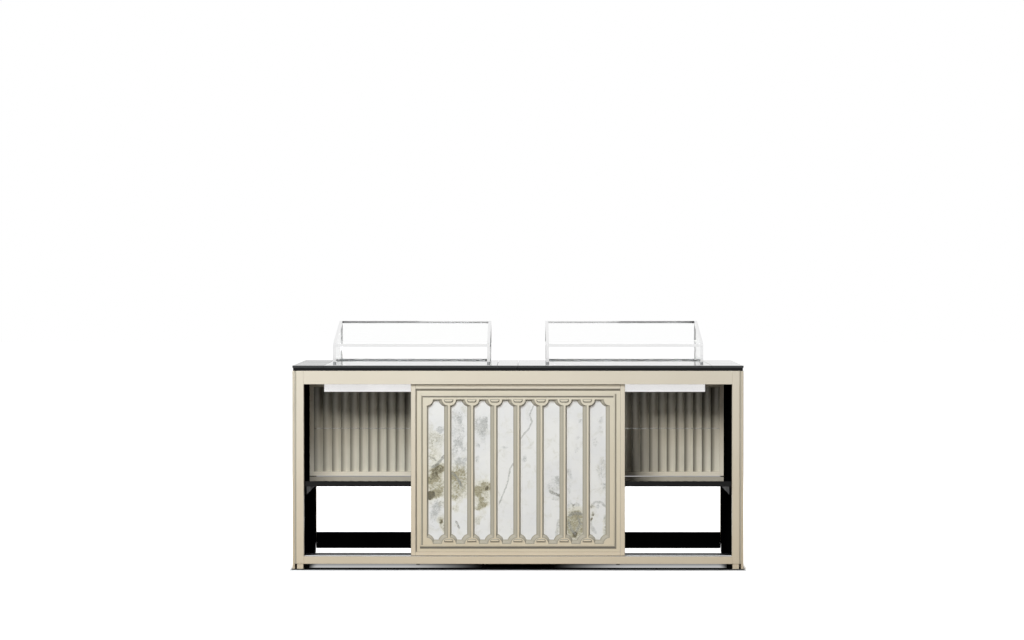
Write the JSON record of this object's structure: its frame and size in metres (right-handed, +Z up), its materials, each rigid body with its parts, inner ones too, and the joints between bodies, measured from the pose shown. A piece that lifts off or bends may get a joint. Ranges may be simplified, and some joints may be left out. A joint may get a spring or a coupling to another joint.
{
  "type": "mobile buffet station",
  "caption": "Long champagne and black buffet counter on hidden casters, with a glass top, lift-off sneeze guards and a sliding stone-panelled front door.",
  "frame": {"origin": "on the floor under the middle of the station", "axes": "+X along the length, towards the right as seen by a guest; -Y faces the guest and the door; +Z up"},
  "size_m": [2, 0.8, 1.089],
  "materials": {
    "champagne_paint": "satin champagne coating",
    "door_paint": "fibreboard with a satin pale champagne coating",
    "backing_board": "dark stained hardboard",
    "black_paint": "semi-gloss black coating",
    "black_gloss_board": "board with a high-gloss black face",
    "black_base": "black sheet under the glass",
    "top_glass": "black back-painted tempered glass, polished",
    "white_housing": "white powder coat",
    "steel": "plain steel sheet",
    "reeded_paint": "reeded board with a satin beige coating",
    "stone": "polished marble-look panel with grey and gold veins",
    "guard_aluminium": "satin anodised",
    "guard_glass": "clear tempered glass",
    "guard_feet": "dark grey soft feet and seat strip",
    "wheel_plastic": "grey-black nylon"
  },
  "bodies": {
    "station": {"post_front_left": "champagne_paint", "post_front_right": "champagne_paint", "post_rear_left": "champagne_paint", "post_rear_right": "champagne_paint", "foot_blocks": "champagne_paint", "front_top_rail": "champagne_paint", "rear_top_rail": "champagne_paint", "side_rails": "black_paint", "shelf_bearers": "black_paint", "front_bottom_rail": "champagne_paint", "track_sill": "black_paint", "rear_bottom_rail": "black_paint", "kick_strip": "black_paint", "liner_left": "black_gloss_board", "liner_right": "black_gloss_board", "end_panel_left": "champagne_paint", "end_panel_right": "champagne_paint", "shadow_spacers": "champagne_paint", "cross_beams": "black_paint", "top_base": "black_base", "top_end_left": "top_glass", "top_plate_left": "top_glass", "top_strip": "top_glass", "top_plate_right": "top_glass", "top_end_right": "top_glass", "module_housing_left": "white_housing", "module_housing_right": "white_housing", "warming_modules": "steel", "shelf": "black_gloss_board", "reeded_panel_left": "reeded_paint", "reeded_panel_right": "reeded_paint", "reeded_frames": "champagne_paint", "dividers": "black_gloss_board", "centre_floor": "black_gloss_board", "centre_back": "black_gloss_board", "caster_plates": "steel"},
    "door": {"door_frame": "champagne_paint", "door_fretwork": "door_paint", "door_bead": "door_paint", "door_bosses": "door_paint", "door_stone": "stone", "door_back": "backing_board", "door_carriages": "steel", "door_guides": "wheel_plastic"},
    "door_roller_left": {"door_roller_left": "steel"},
    "door_roller_right": {"door_roller_right": "steel"},
    "guard_left": {"guard_left_frame": "guard_aluminium", "guard_left_panes": "guard_glass", "guard_left_feet": "guard_feet"},
    "guard_right": {"guard_right_frame": "guard_aluminium", "guard_right_panes": "guard_glass", "guard_right_feet": "guard_feet"},
    "caster_front_left": {"caster_front_left_fork": "steel"},
    "wheel_front_left": {"caster_front_left_wheel": "wheel_plastic"},
    "caster_front_right": {"caster_front_right_fork": "steel"},
    "wheel_front_right": {"caster_front_right_wheel": "wheel_plastic"},
    "caster_rear_left": {"caster_rear_left_fork": "steel"},
    "wheel_rear_left": {"caster_rear_left_wheel": "wheel_plastic"},
    "caster_rear_right": {"caster_rear_right_fork": "steel"},
    "wheel_rear_right": {"caster_rear_right_wheel": "wheel_plastic"}
  },
  "joints": [
    {"name": "door_slide", "type": "slide", "parent": "station", "child": "door", "axis": [1, 0, 0], "range_m": [-0.47, 0.47]},
    {"name": "door_roller_left_spin", "type": "hinge", "parent": "door", "child": "door_roller_left", "pos_m": [-0.4, -0.373, 0.07], "axis": [0, 1, 0], "range_deg": [-2950, 2950]},
    {"name": "door_roller_right_spin", "type": "hinge", "parent": "door", "child": "door_roller_right", "pos_m": [0.4, -0.373, 0.07], "axis": [0, 1, 0], "range_deg": [-2950, 2950]},
    {"name": "guard_left_lift", "type": "slide", "parent": "station", "child": "guard_left", "axis": [0, 0, 1], "range_m": [0, 0.25]},
    {"name": "guard_right_lift", "type": "slide", "parent": "station", "child": "guard_right", "axis": [0, 0, 1], "range_m": [0, 0.25]},
    {"name": "caster_front_left_swivel", "type": "hinge", "parent": "station", "child": "caster_front_left", "pos_m": [-0.957, -0.332, 0.046], "axis": [0, 0, 1], "continuous": true},
    {"name": "wheel_front_left_spin", "type": "hinge", "parent": "caster_front_left", "child": "wheel_front_left", "pos_m": [-0.957, -0.321, 0.02], "axis": [1, 0, 0], "continuous": true},
    {"name": "caster_front_right_swivel", "type": "hinge", "parent": "station", "child": "caster_front_right", "pos_m": [0.957, -0.332, 0.046], "axis": [0, 0, 1], "continuous": true},
    {"name": "wheel_front_right_spin", "type": "hinge", "parent": "caster_front_right", "child": "wheel_front_right", "pos_m": [0.957, -0.321, 0.02], "axis": [1, 0, 0], "continuous": true},
    {"name": "caster_rear_left_swivel", "type": "hinge", "parent": "station", "child": "caster_rear_left", "pos_m": [-0.957, 0.332, 0.046], "axis": [0, 0, 1], "continuous": true},
    {"name": "wheel_rear_left_spin", "type": "hinge", "parent": "caster_rear_left", "child": "wheel_rear_left", "pos_m": [-0.957, 0.321, 0.02], "axis": [1, 0, 0], "continuous": true},
    {"name": "caster_rear_right_swivel", "type": "hinge", "parent": "station", "child": "caster_rear_right", "pos_m": [0.957, 0.332, 0.046], "axis": [0, 0, 1], "continuous": true},
    {"name": "wheel_rear_right_spin", "type": "hinge", "parent": "caster_rear_right", "child": "wheel_rear_right", "pos_m": [0.957, 0.321, 0.02], "axis": [1, 0, 0], "continuous": true}
  ],
  "couplings": [
    {"joint": "door_roller_left_spin", "follows": "door_slide", "rad_per_m": 108.11},
    {"joint": "door_roller_right_spin", "follows": "door_slide", "rad_per_m": 108.11}
  ]
}
